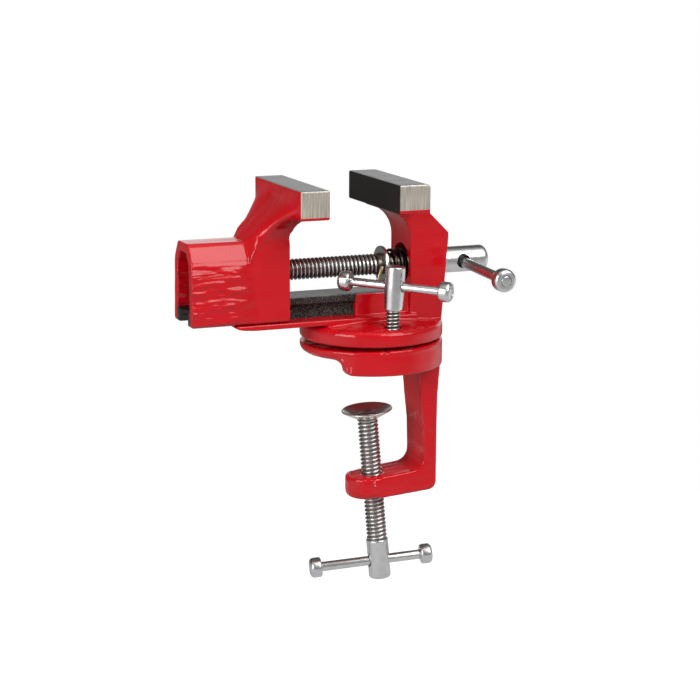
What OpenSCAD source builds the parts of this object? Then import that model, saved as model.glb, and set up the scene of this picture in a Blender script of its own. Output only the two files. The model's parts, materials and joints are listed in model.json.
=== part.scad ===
// Swivel table vise: a small cast vise on a swivel plate, held to a table edge by a screw clamp.
// X runs along the main screw, from the moving jaw to the screw's head, and Z is up.
// The origin is on the swivel axis, in the flat face that rests on the table top.
// Every piece is drawn where it stands at rest, with the jaws part open.

/* [Jaws] */
// Width of both jaws
jaw_w = 40; // [32:0.5:50]
// Height of the gripping faces
jaw_h = 8.6; // [6:0.1:12]
// Thickness of the fixed jaw's head
fixed_jaw_t = 9.9; // [8:0.1:13]
// Thickness of the moving jaw's head
moving_jaw_t = 8.9; // [7:0.1:12]
// Height of the fixed jaw's top above the table face
jaw_top_z = 56.4; // [54:0.1:62]
// How much lower the moving jaw's top stands, from play on the rail
jaw_drop = 0.5; // [0:0.1:1]
// Opening between the gripping faces as drawn
jaw_gap = 21.8; // [20:0.1:23]
// X of the fixed jaw's gripping face
fixed_face_x = 0.6; // [0:0.1:1.5]

/* [Main screw] */
// Height of the main screw's axis above the table face
screw_z = 30.1; // [29.6:0.1:30.6]
// Outer diameter of the main screw's thread
screw_d = 6.4; // [5.6:0.1:6.8]
// Pitch of the main screw and of the clamp screw
screw_pitch = 1.27; // [1:0.01:1.5]
// X of the main screw's free end
screw_end_x = -53; // [-54:0.5:-50]
// Diameter of the main screw's head
head_d = 8; // [7.4:0.1:9]
// Length of the main screw's head
head_len = 17; // [15:0.5:20]
// Distance from the head's seat to the cross hole
head_hole_x = 8.4; // [7:0.1:9.5]

/* [Spring and washer] */
// Wire diameter of the jaw spring
spring_wire = 1; // [0.8:0.1:1.2]
// Outer diameter of the jaw spring
spring_d = 9.1; // [8.8:0.1:9.6]
// Turns of the jaw spring
spring_turns = 5; // [4:1:5]
// Outer diameter of the washer on the main screw
washer_d = 11; // [10:0.1:12]
// Thickness of that washer
washer_t = 1.1; // [0.8:0.1:1.5]
// Gap between the washer and the fixed upright
washer_gap = 5.8; // [5:0.1:7]
// Diameter of the split pin's wire
pin_d = 1.2; // [0.8:0.1:1.4]

/* [Fixed upright] */
// Width of the fixed upright
upright_w = 15.5; // [14.5:0.5:17]
// X of the fixed upright's inner face
upright_x = 9.7; // [9.4:0.1:10.2]
// Thickness of the fixed upright at its foot
upright_foot_t = 10.1; // [9.5:0.1:11]
// Thickness of the fixed upright at its shoulder
upright_top_t = 12.5; // [11.5:0.1:14]
// Diameter of the spring's pocket
pocket_d = 12.2; // [11.5:0.1:13]
// Depth of the spring's pocket
pocket_depth = 6; // [5:0.1:7]

/* [Rail] */
// Width of the rail's head
rail_w = 11.1; // [10:0.1:11.6]
// Height of the rail's top above the table face
rail_top_z = 22.5; // [22.2:0.1:23]
// Thickness of the rail's head
rail_head_t = 2.2; // [1.8:0.1:2.6]
// Width of the rail's neck
rail_neck_w = 7.4; // [6.5:0.1:7.6]
// X of the rail's free end
rail_end_x = -54; // [-55:0.5:-51]
// X where the neck's groove ends
groove_end_x = -7.3; // [-7.5:0.1:-6]
// Width of the ledge under the rail
ledge_w = 18; // [17:0.1:19]
// Thickness of the ledge under the rail
ledge_t = 1.6; // [1.3:0.1:1.9]
// X of the ledge's free end
ledge_end_x = -46.2; // [-48:0.1:-44]

/* [Moving jaw] */
// Thickness of the moving upright, which is tapped for the main screw
moving_upright_t = 12.9; // [12:0.1:14]
// How far the moving upright's inner face stands behind the gripping face
moving_setback = 8.2; // [7.8:0.1:8.6]
// Length of the tunnel behind the moving upright
tunnel_len = 17.1; // [14:0.1:20]
// Width of the tunnel at its bottom edge
tunnel_w = 18.2; // [17.8:0.1:19]
// Height of the tunnel's top above the table face
tunnel_top_z = 40.1; // [39:0.1:41]
// Width of the tunnel's flat top
tunnel_top_w = 9.6; // [9:0.1:11]
// Thickness of the tunnel's roof
roof_t = 2.8; // [2:0.1:3]
// Running gap between the moving jaw and the rail, all round
rail_gap = 0.3; // [0.2:0.05:0.4]

/* [Swivel plates] */
// Diameter of both plates
plate_d = 43.5; // [41.5:0.5:46]
// Height of the upper plate's underside above the table face
upper_z = 8.5; // [8.2:0.1:9]
// Thickness of the upper plate at its rim
upper_t = 4.8; // [4.4:0.1:5.2]
// Gap between the plates at the rim, on the swivel axis' own line
plate_gap = 0.9; // [0.8:0.05:1.2]
// Slope of the lower plate's top, which widens the gap under the rail
plate_slope = 1.3; // [0:0.1:1.6]
// Thickness of the lower plate's thin rim
rim_t = 3.6; // [3:0.1:4.2]
// Diameter of the boss that the upper plate turns on
boss_d = 18; // [16:0.5:20]

/* [Pivot] */
// Shank diameter of the pivot screw
pivot_d = 6; // [5:0.1:6.5]
// Head diameter of the pivot screw
pivot_head_d = 10.5; // [10:0.1:11]
// Head height of the pivot screw
pivot_head_t = 2.6; // [2:0.1:2.8]
// Thickness of the pivot's washer
pivot_washer_t = 0.8; // [0.6:0.1:1]
// Depth of the pivot screw's thread in the upper casting
pivot_depth = 7; // [5:0.1:9]

/* [Lock screw] */
// Distance of the lock screw from the swivel axis
lock_r = 16.5; // [16.3:0.1:17]
// Outer diameter of the lock screw's thread
lock_d = 4.6; // [4:0.1:4.8]
// Pitch of the lock screw's thread
lock_pitch = 1.06; // [0.8:0.01:1.2]
// Thread that shows between the plate and the lock screw's head
lock_show = 5.7; // [5.2:0.1:6.2]
// Diameter of the lock screw's head
lock_head_d = 6.1; // [5.6:0.1:6.6]
// Length of the lock screw's head
lock_head_len = 13.1; // [12:0.1:15]
// Height of the cross hole above the head's lower end
lock_hole = 7.1; // [6.5:0.1:7.5]
// Lean of the lock screw towards the fixed jaw, in degrees
lock_lean = 2.8; // [2:0.1:3]
// Direction of the lock bar seen from above, in degrees
lock_bar_turn = -44; // [-46:1:-38]

/* [Clamp] */
// Width of the clamp's spine and lower arm
arm_w = 14; // [13:0.5:16]
// Depth of the clamp from the table face to the lower arm
clamp_depth = 34.6; // [33:0.1:40]
// Thickness of the lower arm
arm_t = 6.4; // [6:0.1:8]
// X of the spine's inner face at its thinnest
spine_x = 15; // [14.5:0.1:16]
// Thickness of the spine at its thinnest
spine_t = 4.4; // [4:0.1:5.5]
// X of the thick jaw's front edge under the plates
throat_x = -15; // [-16:0.1:-13]
// Width of the notch under the plate, between the thick jaw's two sides
notch_w = 26; // [22:0.5:28]
// X of the notch's inner end
notch_x = -7.5; // [-9:0.1:-6.5]
// X of the clamp screw's axis halfway through the lower arm
clamp_x = 0.8; // [0:0.1:1.5]
// Lean of the clamp screw and droop of the lower arm, in degrees
clamp_lean = 5; // [3:0.1:5.5]
// Outer diameter of the clamp screw's thread
clamp_d = 6.4; // [5.6:0.1:6.8]
// Diameter of the clamp screw's head
clamp_head_d = 6.9; // [6.9:0.1:7.6]
// Length of the clamp screw's head
clamp_head_len = 12.8; // [11.5:0.1:15]
// Distance from the top of that head down to its cross hole
clamp_hole = 7.2; // [6:0.1:7.5]
// Distance from the arm's middle to the top of the clamp screw's head
clamp_drop = 18.8; // [18:0.1:22]
// Distance from the arm's middle up to the cup's rim
pad_rise = 23.3; // [21:0.1:24]
// Diameter of the cup that meets the table
pad_d = 15.7; // [14:0.1:17]
// Height of the cup
pad_h = 3.1; // [2.8:0.1:4]

/* [Bars] */
// Rod diameter of the main screw's bar
main_bar_d = 3.1; // [2.6:0.1:3.3]
// Distance between the knobs' middles on the main bar
main_bar_len = 50; // [44:0.5:60]
// How far the main bar has slid towards the near side
main_bar_slid = 6; // [0:0.1:7]
// Droop of the main bar's near end, in degrees
main_bar_droop = 2.3; // [0:0.1:6]
// Diameter of the knobs on the main bar
main_knob_d = 7; // [6:0.1:8]
// Rod diameter of the lock bar
lock_bar_d = 2.6; // [2.2:0.1:2.8]
// Distance between the knobs' middles on the lock bar
lock_bar_len = 31.8; // [31:0.1:33]
// Rod diameter of the clamp bar
clamp_bar_d = 3; // [2.5:0.1:3.2]
// Distance between the knobs' middles on the clamp bar
clamp_bar_len = 35; // [30:0.5:45]
// How far the clamp bar has slid towards the moving jaw's side
clamp_bar_slid = 2.5; // [0:0.1:5]
// Direction of the clamp bar seen along its screw, in degrees
clamp_bar_turn = -13; // [-30:1:10]
// Diameter of the knobs on the lock bar and the clamp bar
knob_d = 6.3; // [5.6:0.1:6.6]
// Thickness of every knob
knob_t = 3.8; // [3.2:0.1:4.2]

/* [Fits] */
// Radial clearance between a thread and the casting that it turns in
thread_fit = 0.06; // [0.04:0.01:0.1]
// Radial clearance of a turning shank in its bore
shank_fit = 0.06; // [0.04:0.01:0.1]
// Radial clearance of what is pressed, riveted or locked in place
press_fit = 0.02; // [0.01:0.01:0.04]
// Clearance between the flat faces of pieces that turn or slide on each other
face_fit = 0.05; // [0.02:0.01:0.1]
// How much wider the main and clamp screws' cross holes are than their bars
bar_play = 1; // [0.6:0.1:1.1]
// How much wider the lock screw's cross hole is than its bar
lock_bar_play = 0.5; // [0.3:0.1:0.7]

/* [Hidden] */
$fn = 64;

// Colours
red_paint = [0.78, 0.05, 0.08];
bright_steel = [0.75, 0.76, 0.77];
dark_steel = [0.2, 0.2, 0.2];
brassy_steel = [0.55, 0.43, 0.28];

// A hair of overlap for cuts that run out through a face
cut = 0.5;
// Depth of a thread as a share of its pitch
thread_depth = 0.5;

// Heights and places that follow from the sizes above
plate_r = plate_d / 2;
upper_top_z = upper_z + upper_t;
lower_top_z = upper_z - plate_gap;
thin_bottom_z = lower_top_z - rim_t;
jaw_bottom_z = jaw_top_z - jaw_h;
moving_top_z = jaw_top_z - jaw_drop;
moving_bottom_z = moving_top_z - jaw_h;
head_bottom_z = rail_top_z - rail_head_t;
ledge_rise = 0.8;
ledge_top_z = upper_top_z + ledge_rise + ledge_t;
ledge_bottom_z = ledge_top_z - ledge_t;
moving_face_x = fixed_face_x - jaw_gap;
moving_inner_x = moving_face_x - moving_setback;
moving_back_x = moving_inner_x - moving_upright_t;
tunnel_end_x = moving_back_x - tunnel_len;
fillet_r = 9.4;
moving_fillet_r = 6.3;

// Slope of the fixed upright's outer face, and its seat for the screw's head
shoulder_z = 39.6;
outer_slope = (upright_top_t - upright_foot_t) / (shoulder_z - upper_top_z);
seat_x = upright_x + upright_foot_t + (screw_z - head_d / 2 - upper_top_z) * outer_slope;
pocket_floor_x = upright_x + pocket_depth;
washer_x = upright_x - washer_gap;
pin_x = washer_x - washer_t - pin_d / 2 - 0.3;

// A point at angle a on a circle about c
function arc_point(c, r, a) = c + r * [cos(a), sin(a)];
function arc(c, r, a0, a1, n) = [for (i = [0:n]) arc_point(c, r, a0 + (a1 - a0) * i / n)];

// Solid of revolution about Z with V-shaped rings, from z = 0 to z = len
module threaded(d, pitch, len) {
    rings = floor(len / pitch);
    root = d / 2 - thread_depth * pitch;
    rest = (len - rings * pitch) / 2;
    rotate_extrude()
        polygon(concat(
            [[0, 0], [root, 0], [root, rest]],
            [for (i = [0:rings - 1], j = [0, 1])
                [j == 0 ? d / 2 : root, rest + (i + (j + 1) / 2) * pitch]],
            [[root, len], [0, len]]));
}

// Cylinder about Z with chamfered ends
module turned(d, len, c1 = 0.4, c2 = 0.4) {
    rotate_extrude()
        polygon([
            [0, 0], [d / 2 - c1, 0], [d / 2, c1], [d / 2, len - c2], [d / 2 - c2, len], [0, len]
        ]);
}

// Knob about Z: flat face at z = 0 towards the rod, domed edge outside, bored for the rod
module knob(d, rod_d) {
    r = d / 2;
    dome = knob_t * 0.45;
    rotate_extrude()
        polygon(concat(
            [[rod_d / 2 + press_fit, 0], [r - 0.3, 0], [r, 0.3]],
            arc([r - dome, knob_t - dome], dome, 0, 70, 6),
            [[rod_d / 2 + 0.5, knob_t], [rod_d / 2 + press_fit, knob_t - 0.4]]));
}

// Rod along X with its middle at x = mid, reaching through both knobs
module rod(d, len, mid) {
    half = len / 2 + knob_t / 2;
    translate([mid - half, 0, 0]) rotate([0, 90, 0]) turned(d, 2 * half, 0.25, 0.25);
}

// Knob at the low or the high end of such a rod
module rod_knob(d, rod_d, len, mid, side) {
    translate([mid + side * (len / 2 - knob_t / 2), 0, 0])
        rotate([0, side * 90, 0]) knob(d, rod_d);
}

// Places the children in the clamp screw's own frame, z = 0 halfway through the lower arm
arm_mid_z = -clamp_depth - arm_t / 2;
module along_clamp() {
    translate([clamp_x, 0, arm_mid_z]) rotate([0, -clamp_lean, 0]) children();
}

// Places the children in the lock screw's own frame, z = 0 at the plate's top
module along_lock() {
    translate([0, -lock_r, upper_top_z]) rotate([0, lock_lean, 0]) children();
}

// Places the children in the main screw's own frame: z along the screw, 0 at the head's seat
module along_screw() {
    translate([seat_x, 0, screw_z]) rotate([0, 90, 0]) children();
}

// Frames of the three bars, with x along the bar
module along_main_bar() {
    sag = (bar_play / 2 - 0.1);
    translate([seat_x + head_hole_x, 0, screw_z])
        rotate([main_bar_droop, 0, 0]) translate([0, 0, -sag]) rotate([0, 0, -90]) children();
}
module along_lock_bar() {
    along_lock() translate([0, 0, lock_show + lock_hole]) rotate([0, 0, lock_bar_turn]) children();
}
module along_clamp_bar() {
    along_clamp() translate([0, 0, -clamp_drop - clamp_hole])
        rotate([0, 0, clamp_bar_turn]) children();
}

// Clamp frame: lower plate, thick jaw, spine and lower arm in one casting
spine_out_x = spine_x + spine_t;
arm_end_x = clamp_x - 8.6;
arm_round = 2;
notch_r = 3;
rim_r = 2.2;
rim_low_z = thin_bottom_z + rim_r;

// Radii where the thick jaw steps up to the thin plate, and how far the step reaches
step_top_r = 1.6;
step_low_r = 2.2;
step_reach = 1.6;

// The arm's top droops by this slope, and its bottom by a share of it
arm_slope = tan(clamp_lean - 1);
arm_low_slope = 0.75 * arm_slope;
arm_low_z = -clamp_depth - arm_t - (spine_out_x - arm_end_x) * arm_low_slope;

// Side outline of the thick jaw, the spine and the arm, in X and Z
module clamp_outline() {
    top = -clamp_depth;
    bottom = -clamp_depth - arm_t;
    out = spine_out_x;
    polygon(concat(
        [[throat_x + step_low_r, 0], [spine_x - 3.4, 0]],
        arc([spine_x - 3.4, -1.6], 1.6, 90, 20, 4),
        [[spine_x - 0.9, -12], [spine_x, -20], [spine_x + 0.3, top + 5]],
        arc([spine_x - 3.9, top + 4.6], 4.2, 0, -86, 6),
        [[arm_end_x, top - (spine_x - 4 - arm_end_x) * arm_slope], [arm_end_x, arm_low_z]],
        arc([out - 2.7, bottom + 3], 2.7, -86, 0, 5),
        [[out, -20], [out + 0.2, -10], [out + 1, 0], [out + 1.2, rim_low_z]],
        [[throat_x + 5, rim_low_z], [throat_x - step_reach, thin_bottom_z + 0.6]],
        arc([throat_x - step_reach, thin_bottom_z - step_top_r], step_top_r, 90, 15, 5),
        arc([throat_x + step_low_r, step_low_r], step_low_r, 200, 262, 6)));
}

module clamp_frame() {
    color(red_paint) difference() {
        union() {
            // Thin plate, with its top sloping a little away from the upper plate
            difference() {
                translate([0, 0, thin_bottom_z]) rotate_extrude(convexity = 4)
                    polygon(concat(
                        [[0, 0]],
                        arc([plate_r - rim_r, rim_r], rim_r, -90, 0, 6),
                        [[plate_r, rim_t + 2], [0, rim_t + 2]]));
                translate([0, 0, lower_top_z]) rotate([0, -plate_slope, 0])
                    translate([-plate_d, -plate_d, 0]) cube([2 * plate_d, 2 * plate_d, 10]);
            }
            // Boss that carries the upper plate
            translate([0, 0, thin_bottom_z]) cylinder(d = boss_d, h = upper_z - thin_bottom_z);
            // Thick jaw under the plate, round like the plate
            intersection() {
                rotate([90, 0, 0]) translate([0, 0, -plate_r])
                    linear_extrude(plate_d, convexity = 4) clamp_outline();
                cylinder(r = plate_r - 0.02, h = rim_low_z);
            }
            // Spine and lower arm, rounded in plan at the arm's end
            intersection() {
                rotate([90, 0, 0]) translate([0, 0, -arm_w / 2])
                    linear_extrude(arm_w, convexity = 4) clamp_outline();
                translate([arm_end_x + arm_w / 2, 0, arm_low_z]) union() {
                    rotate_extrude() polygon(concat(
                        [[0, 0]],
                        arc([arm_w / 2 - arm_round, arm_round], arm_round, -90, 0, 6),
                        [[arm_w / 2, arm_w], [0, arm_w]]));
                    translate([0, -arm_w / 2, 0]) cube([plate_d, arm_w, plate_d + clamp_depth]);
                }
            }
        }
        // Pivot: bore, and a counterbore for its washer and head
        translate([0, 0, -cut]) cylinder(r = pivot_d / 2 + shank_fit, h = upper_z + 2 * cut);
        translate([0, 0, -cut]) cylinder(d = pivot_head_d + 1.5, h = pivot_floor_z + cut);
        // Notch in the thick jaw's front, with round inner corners
        translate([0, 0, -cut]) linear_extrude(thin_bottom_z + cut) union() {
            translate([-plate_d, -notch_w / 2]) square([plate_d + notch_x - notch_r, notch_w]);
            translate([-plate_d, notch_r - notch_w / 2]) square([plate_d + notch_x, notch_w - 2 * notch_r]);
            for (s = [-1, 1]) translate([notch_x - notch_r, s * (notch_w / 2 - notch_r)])
                circle(r = notch_r);
        }
        // Tapped hole for the clamp screw
        along_clamp() translate([0, 0, -arm_t - 2])
            cylinder(r = clamp_d / 2 + thread_fit, h = 2 * arm_t + 4);
    }
}

// Pivot screw, up through the thick jaw into the upper casting, and its washer
pivot_floor_z = thin_bottom_z;
pivot_sink = pivot_floor_z - pivot_head_t - pivot_washer_t - face_fit;

module pivot_screw() {
    color(bright_steel) difference() {
        union() {
            translate([0, 0, pivot_sink]) turned(pivot_head_d, pivot_head_t, 0.8, 0.1);
            translate([0, 0, pivot_sink + pivot_head_t - cut])
                turned(pivot_d, upper_z + pivot_depth - pivot_sink - pivot_head_t + cut, 0.1, 0.6);
        }
        // Slot for a screwdriver
        translate([-pivot_head_d, -0.7, pivot_sink - cut]) cube([2 * pivot_head_d, 1.4, 1.2 + cut]);
    }
}

module pivot_washer() {
    color(bright_steel) translate([0, 0, pivot_sink + pivot_head_t]) difference() {
        cylinder(d = pivot_head_d + 0.8, h = pivot_washer_t);
        translate([0, 0, -cut]) cylinder(d = pivot_d + 0.2, h = pivot_washer_t + 2 * cut);
    }
}

// Clamp screw and the cup on its upper end, which tips and turns on a riveted neck
neck_d = clamp_d - 1.6;
cup_z = pad_rise - pad_h;

module clamp_pad() {
    color(bright_steel) along_clamp() translate([0, 0, cup_z]) rotate_extrude()
        polygon([
            [neck_d / 2 + shank_fit, 0], [neck_d / 2 + 1, 0], [pad_d / 2 - 0.3, pad_h - 0.6],
            [pad_d / 2, pad_h - 0.2], [pad_d / 2 - 0.4, pad_h],
            [neck_d / 2 + 1.7, 1.3], [neck_d / 2 + shank_fit, 1.1]
        ]);
}

module clamp_screw() {
    thread_top = cup_z - face_fit;
    color(bright_steel) along_clamp() difference() {
        union() {
            translate([0, 0, -clamp_drop]) threaded(clamp_d, screw_pitch, clamp_drop + thread_top);
            // Neck through the cup, riveted over above its floor
            translate([0, 0, thread_top - cut]) cylinder(d = neck_d, h = 1.7 + face_fit + cut);
            translate([0, 0, cup_z + 1.1 + 2 * face_fit + 0.15])
                turned(neck_d + 1.2, 0.8, 0.05, 0.4);
            translate([0, 0, -clamp_drop - clamp_head_len]) turned(clamp_head_d, clamp_head_len, 0.5, 0.5);
        }
        translate([0, 0, -clamp_drop - clamp_hole]) rotate([0, 0, clamp_bar_turn]) rotate([0, 90, 0])
            translate([0, 0, -clamp_head_d]) cylinder(d = clamp_bar_d + bar_play, h = 2 * clamp_head_d);
    }
}

module clamp_bar() {
    color(bright_steel) along_clamp_bar() rod(clamp_bar_d, clamp_bar_len, -clamp_bar_slid);
}
module clamp_bar_knob_left() {
    color(bright_steel) along_clamp_bar() rod_knob(knob_d, clamp_bar_d, clamp_bar_len, -clamp_bar_slid, -1);
}
module clamp_bar_knob_right() {
    color(bright_steel) along_clamp_bar() rod_knob(knob_d, clamp_bar_d, clamp_bar_len, -clamp_bar_slid, 1);
}

// Swivel base: upper plate, rail, fixed upright and fixed jaw in one casting
module upper_plate() {
    translate([0, 0, upper_z]) rotate_extrude()
        polygon(concat(
            [[0, 0], [plate_r - 0.6, 0], [plate_r, 0.6]],
            arc([plate_r - 1.3, upper_t - 1.3], 1.3, 0, 80, 5),
            [[11, upper_t + 0.9], [0, upper_t + 0.9]]));
}

// Cross-section of the rail, in Y and Z, with the ledge under it
module rail_section(neck_w) {
    polygon([
        [-neck_w / 2, ledge_top_z - 0.1], [neck_w / 2, ledge_top_z - 0.1], [neck_w / 2, head_bottom_z],
        [rail_w / 2, head_bottom_z], [rail_w / 2, rail_top_z - 0.3], [rail_w / 2 - 0.3, rail_top_z],
        [-rail_w / 2 + 0.3, rail_top_z], [-rail_w / 2, rail_top_z - 0.3],
        [-rail_w / 2, head_bottom_z], [-neck_w / 2, head_bottom_z]
    ]);
}

// Draws a Y and Z section as a bar along X from x0 to x1
module bar_x(x0, x1) {
    translate([x0, 0, 0]) rotate([90, 0, 90]) linear_extrude(x1 - x0, convexity = 4) children();
}

// Draws an X and Z outline as a slab across Y, w wide
module slab_y(w) {
    translate([0, w / 2, 0]) rotate([90, 0, 0]) linear_extrude(w, convexity = 4) children();
}

module ledge_outline() {
    round = 7;
    polygon(concat(
        [[upright_x + 2, ledge_top_z], [ledge_end_x + 0.5, ledge_top_z], [ledge_end_x, ledge_top_z - 0.4]],
        [for (i = [1:5]) [
            ledge_end_x + round * (1 - cos(i * 18)),
            ledge_top_z - 0.4 - (ledge_t - 0.4) * sin(i * 18)]],
        [[upright_x + 2, ledge_bottom_z]]));
}

module upright_outline() {
    foot_x = upright_x + upright_foot_t;
    top_x = upright_x + upright_top_t;
    back_x = fixed_face_x + fixed_jaw_t;
    polygon(concat(
        [[foot_x, upper_z + 1], [top_x, shoulder_z - 0.4], [top_x - 0.2, shoulder_z + 0.3]],
        [[back_x, shoulder_z + 0.3 + top_x - 0.2 - back_x], [back_x, jaw_top_z - 3]],
        [[fixed_face_x + 1, jaw_top_z - 3], [fixed_face_x + 1, jaw_bottom_z - 0.2]],
        arc([upright_x - fillet_r, jaw_bottom_z - 0.3 - fillet_r], fillet_r, 84, 0, 9),
        [[upright_x, upper_z + 1]]));
}

module fixed_head() {
    back = fixed_face_x + fixed_jaw_t;
    slab_y(jaw_w) polygon(concat(
        [[fixed_face_x, jaw_top_z - 0.2], [fixed_face_x, jaw_bottom_z], [back, jaw_bottom_z]],
        arc([back - 1.3, jaw_top_z - 1.3], 1.3, 0, 90, 5),
        [[fixed_face_x + 0.2, jaw_top_z]]));
}

module swivel_base() {
    color(red_paint) difference() {
        union() {
            upper_plate();
            slab_y(ledge_w) ledge_outline();
            bar_x(rail_end_x, upright_x + 2) rail_section(rail_neck_w);
            bar_x(groove_end_x, upright_x + 2) rail_section(rail_w);
            slab_y(upright_w) upright_outline();
            fixed_head();
        }
        // Bore for the screw's shank, seat for its head and pocket for the spring
        translate([upright_x - 2, 0, screw_z]) rotate([0, 90, 0])
            cylinder(r = shank_d / 2 + shank_fit, h = upright_top_t + 10);
        translate([seat_x, 0, screw_z]) rotate([0, 90, 0]) cylinder(d = head_d + 0.8, h = 10);
        translate([upright_x - 2, 0, screw_z]) rotate([0, 90, 0])
            cylinder(d = pocket_d, h = pocket_depth + 2);
        // Tapped holes for the lock screw and the pivot screw
        along_lock() translate([0, 0, -upper_t - 4]) cylinder(r = lock_d / 2 + thread_fit, h = upper_t + 9);
        translate([0, 0, upper_z - cut]) cylinder(r = pivot_d / 2 + press_fit, h = pivot_depth + cut + 0.3);
    }
}

// Lock screw, whose tip stands a hair proud of the upper plate's underside, off the lower plate
lock_tip = upper_t + 0.1;

module lock_screw() {
    color(bright_steel) along_lock() difference() {
        union() {
            translate([0, 0, -lock_tip]) threaded(lock_d, lock_pitch, lock_tip + lock_show + 0.3);
            translate([0, 0, lock_show]) rotate_extrude() polygon([
                [0, 0], [lock_head_d / 2 - 0.7, 0], [lock_head_d / 2 - 0.35, 0.5],
                [lock_head_d / 2, lock_head_len * 0.45], [lock_head_d / 2, lock_head_len - 0.4],
                [lock_head_d / 2 - 0.4, lock_head_len], [0, lock_head_len]
            ]);
        }
        translate([0, 0, lock_show + lock_hole]) rotate([0, 0, lock_bar_turn]) rotate([0, 90, 0])
            translate([0, 0, -lock_head_d]) cylinder(d = lock_bar_d + lock_bar_play, h = 2 * lock_head_d);
    }
}

module lock_bar() {
    color(bright_steel) along_lock_bar() rod(lock_bar_d, lock_bar_len, 0.2);
}
module lock_bar_knob_left() {
    color(bright_steel) along_lock_bar() rod_knob(knob_d, lock_bar_d, lock_bar_len, 0.2, -1);
}
module lock_bar_knob_right() {
    color(bright_steel) along_lock_bar() rod_knob(knob_d, lock_bar_d, lock_bar_len, 0.2, 1);
}

// Jaw spring: one wire wound along X between the washer and the pocket's floor
spring_r = (spring_d - spring_wire) / 2;
spring_x0 = washer_x + face_fit;
spring_x1 = pocket_floor_x;
spring_rings = 8 * spring_turns;
wire_sides = 6;

// Middle of the wire: a straight start, the turns, and a straight end
function spring_angle(i) = 360 * spring_turns * i / spring_rings;
function spring_spot(x, a) = [x, spring_r * cos(a), spring_r * sin(a)];
function spring_x(i) =
    spring_x0 + 1.5 * spring_wire + (spring_x1 - spring_x0 - 3 * spring_wire) * i / spring_rings;
spring_path = concat(
    [spring_spot(spring_x0, 0), spring_spot(spring_x0 + spring_wire, 0)],
    [for (i = [1:spring_rings - 1]) spring_spot(spring_x(i), spring_angle(i))],
    [spring_spot(spring_x1 - spring_wire, 0), spring_spot(spring_x1, 0)]);
spring_last = len(spring_path) - 1;

// Direction of the wire at each point, square to the radius there
function along_wire(i) =
    i <= 0 || i >= spring_last ? [1, 0, 0]
    : let (d = spring_path[i + 1] - spring_path[i - 1]) d / norm(d);
function outward(p) = [0, p[1], p[2]] / norm([0, p[1], p[2]]);
function wire_ring(i) =
    let (p = spring_path[i], n = outward(p), b = cross(along_wire(i), n))
    [for (k = [0:wire_sides - 1])
        p + spring_wire / 2 * (cos(360 * k / wire_sides) * n + sin(360 * k / wire_sides) * b / norm(b))];

// Least gap of the wire to itself, between points over half a turn apart
spring_gap = min([for (i = [0:spring_last], j = [0:spring_last])
    if (j - i > 4) norm(spring_path[i] - spring_path[j]) - spring_wire]);
echo("least gap of the spring to itself, mm", spring_gap);

module jaw_spring() {
    s = wire_sides;
    points = [for (i = [0:spring_last]) each wire_ring(i)];
    sides = [for (i = [0:spring_last - 1], k = [0:s - 1], h = [0, 1])
        let (a = i * s + k, b = i * s + (k + 1) % s)
        h == 0 ? [a, b + s, b] : [a, a + s, b + s]];
    ends = [for (k = [1:s - 2], h = [0, 1])
        h == 0 ? [0, k, k + 1] : [spring_last * s, spring_last * s + k + 1, spring_last * s + k]];
    color(dark_steel) translate([0, 0, screw_z]) polyhedron(points,
        concat(sides, ends));
}

// Main screw: head outside the fixed upright, shank through it, thread into the moving jaw
shank_d = screw_d + 0.1;

module main_screw() {
    thread_end = screw_end_x - seat_x;
    plain_start = pin_x - 1.2 - seat_x;
    color(bright_steel) along_screw() difference() {
        union() {
            translate([0, 0, face_fit]) rotate_extrude() polygon(concat(
                [[0, 0], [head_d / 2 - 0.3, 0], [head_d / 2, 0.3]],
                arc([head_d / 2 - 2, head_len - 2], 2, 0, 90, 6),
                [[0, head_len]]));
            translate([0, 0, plain_start]) cylinder(d = shank_d, h = face_fit - plain_start + cut);
            translate([0, 0, thread_end]) threaded(screw_d, screw_pitch, plain_start - thread_end + cut);
        }
        // Cross hole for the bar, and the split pin's hole
        translate([0, 0, head_hole_x]) rotate([0, 0, main_bar_droop]) rotate([90, 0, 0])
            translate([0, 0, -head_d]) cylinder(d = main_bar_d + bar_play, h = 2 * head_d);
        translate([0, 0, pin_x - seat_x]) rotate([90, 0, 0])
            translate([0, 0, -screw_d]) cylinder(d = pin_d + 0.3, h = 2 * screw_d);
    }
}

module screw_washer() {
    color(bright_steel) translate([washer_x - washer_t, 0, screw_z]) rotate([0, 90, 0]) difference() {
        turned(washer_d, washer_t, 0.15, 0.15);
        translate([0, 0, -cut]) cylinder(r = shank_d / 2 + 0.15, h = washer_t + 2 * cut);
    }
}

// Split pin through the screw along Y: eye on the far side, a bent leg hanging on the near side
module split_pin() {
    near = -screw_d / 2 - pin_d;
    leg_len = 5;
    color(brassy_steel) translate([pin_x, 0, screw_z]) {
        translate([0, near, 0]) rotate([-90, 0, 0]) cylinder(d = pin_d, h = screw_d + 1.6 * pin_d);
        translate([0, near, 0]) sphere(d = pin_d);
        translate([0, near, 0]) rotate([6, 22, 0]) translate([0, 0, -leg_len])
            cylinder(d = pin_d, h = leg_len);
        translate([0, screw_d / 2 + pin_d * 1.6, 0]) rotate([0, 90, 0])
            rotate_extrude() translate([pin_d * 0.9, 0]) circle(d = pin_d);
    }
}

module main_bar() {
    color(bright_steel) along_main_bar() rod(main_bar_d, main_bar_len, main_bar_slid);
}
module main_bar_knob_near() {
    color(bright_steel) along_main_bar() rod_knob(main_knob_d, main_bar_d, main_bar_len, main_bar_slid, 1);
}
module main_bar_knob_far() {
    color(bright_steel) along_main_bar() rod_knob(main_knob_d, main_bar_d, main_bar_len, main_bar_slid, -1);
}

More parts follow.
